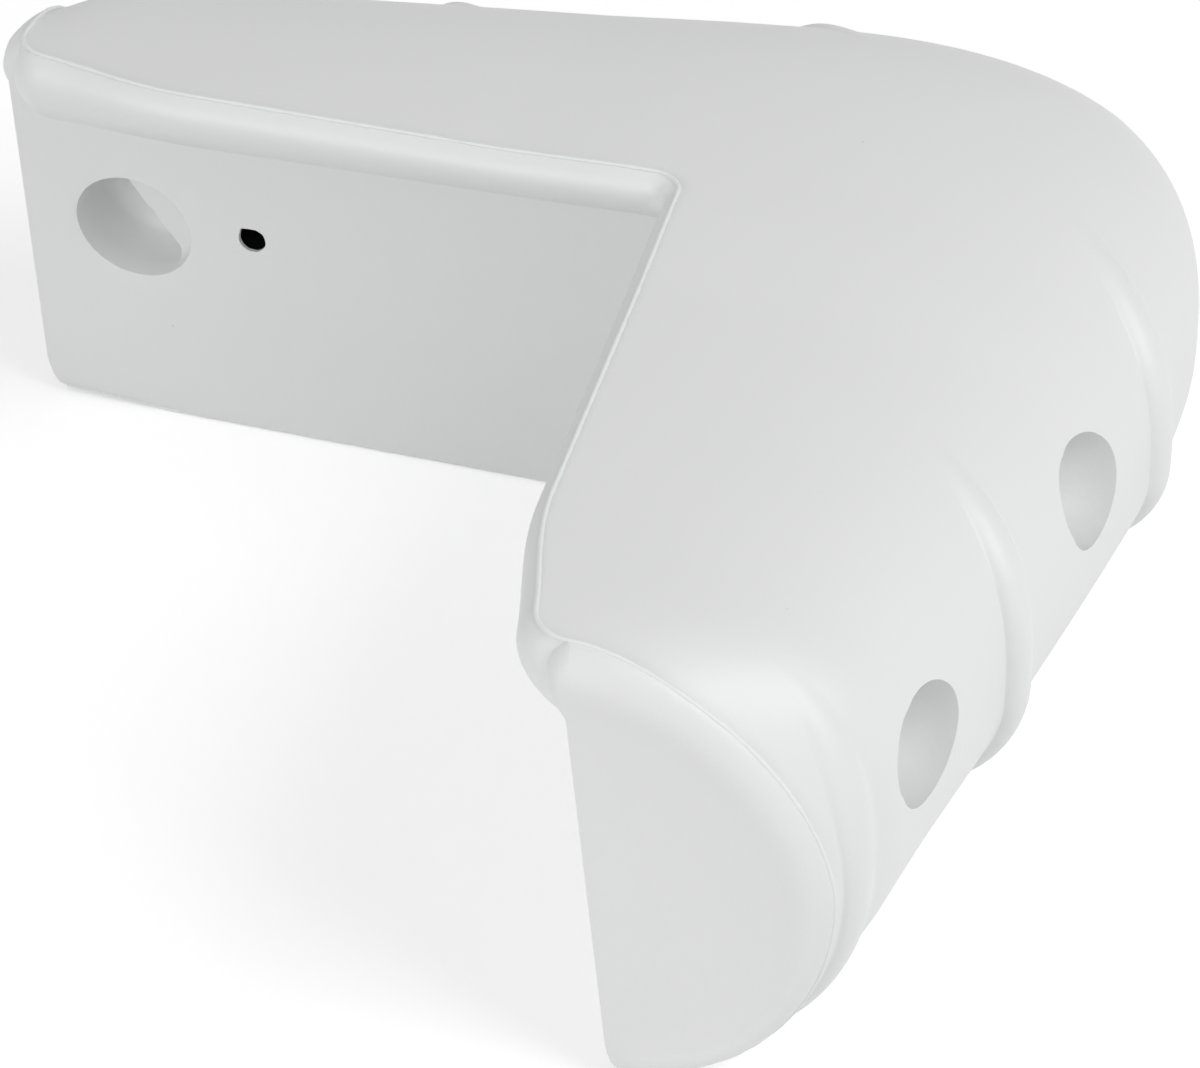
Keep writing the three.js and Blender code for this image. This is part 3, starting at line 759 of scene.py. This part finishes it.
def finishBody(piece):
    mesh = piece.data
    mesh.materials.clear()
    mesh.materials.append(bodyPlastic)
    mesh.polygons.foreach_set("material_index", np.zeros(len(mesh.polygons), np.int32))
    if "girth" in mesh.attributes:
        mesh.attributes.remove(mesh.attributes["girth"])
    mesh.shade_smooth()
    mesh.set_sharp_from_angle(angle=radians(40))
    mesh.update()


bumperBody = shell
bumperBody.name = bumperBody.data.name = "bumperBody"
finishBody(bumperBody)

# Parting line: a fine bead left where the halves of the mould met
seam = {"radius": 0.48, "waver": 0.3, "grain": 260.0, "step": 1.2, "floorGap": 1.4, "seed": 3}


def seamPath():
    # round the lip, down one arm's end, back under the bottom edges and up the other end
    ringCount = len(shellRings)
    first = (ringCount - 1) // 2 - (len(ribbedColumns(0.0)) - 1)
    last = ringCount - 1 - first
    top = int(np.argmax(shellGirth >= 0))
    outline = list(range(top, shellRings.shape[1] - 3))
    foot = outline[-1]
    path = [shellRings[i, top] for i in range(first, last + 1)]
    path += [shellRings[last, j] for j in outline[1:]]
    path += [shellRings[i, foot] for i in range(last - 1, first - 1, -1)]
    path += [shellRings[first, j] for j in outline[-2:0:-1]]
    path = np.array(path)
    path[:, 2] = np.maximum(path[:, 2], -arm["foot"] + seam["radius"] * seam["floorGap"])
    return path


def seamTree():
    tree, given, result = newTree("rollSeam", {
        "Radius": ("Float", 0.001), "Waver": ("Float", 0.1), "Grain": ("Float", 100.0),
        "Step": ("Float", 0.001), "Seed": ("Int", 1), "Plastic": ("Material", None),
    })
    curve = addNode(tree, "GeometryNodeMeshToCurve", {0: given["Geometry"]}).outputs[0]
    even = addNode(tree, "GeometryNodeResampleCurve", {"Curve": curve, "Length": given["Step"]},
                   mode="LENGTH").outputs[0]
    position = addNode(tree, "GeometryNodeInputPosition").outputs[0]
    noise = addNode(tree, "ShaderNodeTexNoise", {"Vector": position, "W": given["Seed"], "Scale": given["Grain"]},
                    noise_dimensions="4D").outputs[0]
    uneven = calc(tree, "MULTIPLY", given["Waver"], calc(tree, "MULTIPLY_ADD", noise, 4.0, -2.0))
    thick = calc(tree, "MULTIPLY", given["Radius"], calc(tree, "ADD", 1.0, uneven))
    sized = addNode(tree, "GeometryNodeSetCurveRadius", {0: even, "Radius": thick}).outputs[0]
    ring = addNode(tree, "GeometryNodeCurvePrimitiveCircle", {"Resolution": 8, "Radius": 1.0}).outputs[0]
    bead = addNode(tree, "GeometryNodeCurveToMesh", {"Curve": sized, "Profile Curve": ring})
    if "Scale" in bead.inputs:
        tree.links.new(thick, bead.inputs["Scale"])
    plain = addNode(tree, "GeometryNodeRealizeInstances", {0: bead.outputs[0]})
    coated = addNode(tree, "GeometryNodeSetMaterial", {0: plain.outputs[0], "Material": given["Plastic"]})
    tree.links.new(coated.outputs[0], result.inputs[0])
    return tree


path = seamPath()
lineMesh = bpy.data.meshes.new("partingSeam")
lineMesh.from_pydata(((path + deckCorner) * mm).tolist(),
                     [(i, (i + 1) % len(path)) for i in range(len(path))], [])
partingSeam = bpy.data.objects.new("partingSeam", lineMesh)
bpy.context.scene.collection.objects.link(partingSeam)
runTree(partingSeam, seamTree(), {
    "Radius": seam["radius"] * mm, "Waver": seam["waver"], "Grain": seam["grain"], "Step": seam["step"] * mm,
    "Seed": seam["seed"], "Plastic": seamPlastic,
})
partingSeam.data.shade_smooth()
print("seam rolled:", len(partingSeam.data.polygons), "faces")

for piece in (bumperBody, partingSeam):
    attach(piece, "root")
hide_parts("bumper_body")

# Studio: white floor that keeps the shadow, two soft lights, pale surround
studio = {
    "floorSize": 6.0, "floorColour": (0.86, 0.86, 0.86, 1), "floorGlow": 0.4,
    "surround": 0.44, "key": 6.8, "keySize": 0.8, "keyPlace": (0.85, -0.2, 0.88),
    "fill": 14.5, "fillSize": 1.4, "fillPlace": (-1.0, -1.8, 0.6),
}


def seenDirectly(tree):
    # 1 where the camera or a reflection sees the surface, 0 where it lights the bumper
    path = addNode(tree, "ShaderNodeLightPath").outputs
    seen = calc(tree, "MAXIMUM", path["Is Camera Ray"], path["Is Glossy Ray"])
    return calc(tree, "MAXIMUM", seen, path["Is Transmission Ray"])


def makeFloor():
    half = studio["floorSize"] / 2
    mesh = bpy.data.meshes.new("studioFloor")
    mesh.from_pydata([(-half, -half, 0), (half, -half, 0), (half, half, 0), (-half, half, 0)], [], [(0, 1, 2, 3)])
    floor = bpy.data.objects.new("studioFloor", mesh)
    bpy.context.scene.collection.objects.link(floor)
    material = bpy.data.materials.new("floorPaper")
    material.use_nodes = True
    tree = material.node_tree
    tree.nodes.clear()
    paper = addNode(tree, "ShaderNodeBsdfDiffuse", {"Color": studio["floorColour"]})
    whiter = calc(tree, "MULTIPLY", seenDirectly(tree), studio["floorGlow"])
    glow = addNode(tree, "ShaderNodeEmission", {"Color": (1, 1, 1, 1), "Strength": whiter})
    both = addNode(tree, "ShaderNodeAddShader", {0: paper.outputs[0], 1: glow.outputs[0]})
    addNode(tree, "ShaderNodeOutputMaterial", {"Surface": both.outputs[0]})
    mesh.materials.append(material)


def makeSurround():
    world = bpy.data.worlds.new("paleSurround")
    world.use_nodes = True
    tree = world.node_tree
    tree.nodes.clear()
    strength = addNode(tree, "ShaderNodeMix", {0: seenDirectly(tree), 2: studio["surround"], 3: 1.0}).outputs[0]
    glow = addNode(tree, "ShaderNodeBackground", {"Color": (1, 1, 1, 1), "Strength": strength})
    addNode(tree, "ShaderNodeOutputWorld", {"Surface": glow.outputs[0]})
    bpy.context.scene.world = world


def softLight(name, power, size, spot):
    light = bpy.data.lights.new(name, "AREA")
    light.energy, light.size = power, size
    lamp = bpy.data.objects.new(name, light)
    bpy.context.scene.collection.objects.link(lamp)
    lamp.location = spot
    lamp.rotation_euler = (Vector((0, 0, 0.05)) - Vector(spot)).to_track_quat("-Z", "Y").to_euler()


makeFloor()
makeSurround()
softLight("keyLight", studio["key"], studio["keySize"], studio["keyPlace"])
softLight("fillLight", studio["fill"], studio["fillSize"], studio["fillPlace"])

# Camera: long lens, from the front and a little to the right
view = {"lens": 138.663, "azimuth": 15.6533, "elevation": 37.3209, "place": (191.890, -823.078, 563.018)}
cameraData = bpy.data.cameras.new("viewCamera")
cameraData.lens, cameraData.sensor_width, cameraData.sensor_fit = view["lens"], 36.0, "HORIZONTAL"
camera = bpy.data.objects.new("viewCamera", cameraData)
bpy.context.scene.collection.objects.link(camera)
camera.location = (np.array(view["place"]) + deckCorner) * mm
camera.rotation_euler = (radians(90 - view["elevation"]), 0, radians(view["azimuth"]))
bpy.context.scene.camera = camera
bpy.context.scene.view_settings.view_transform = "Standard"
print("studio set")
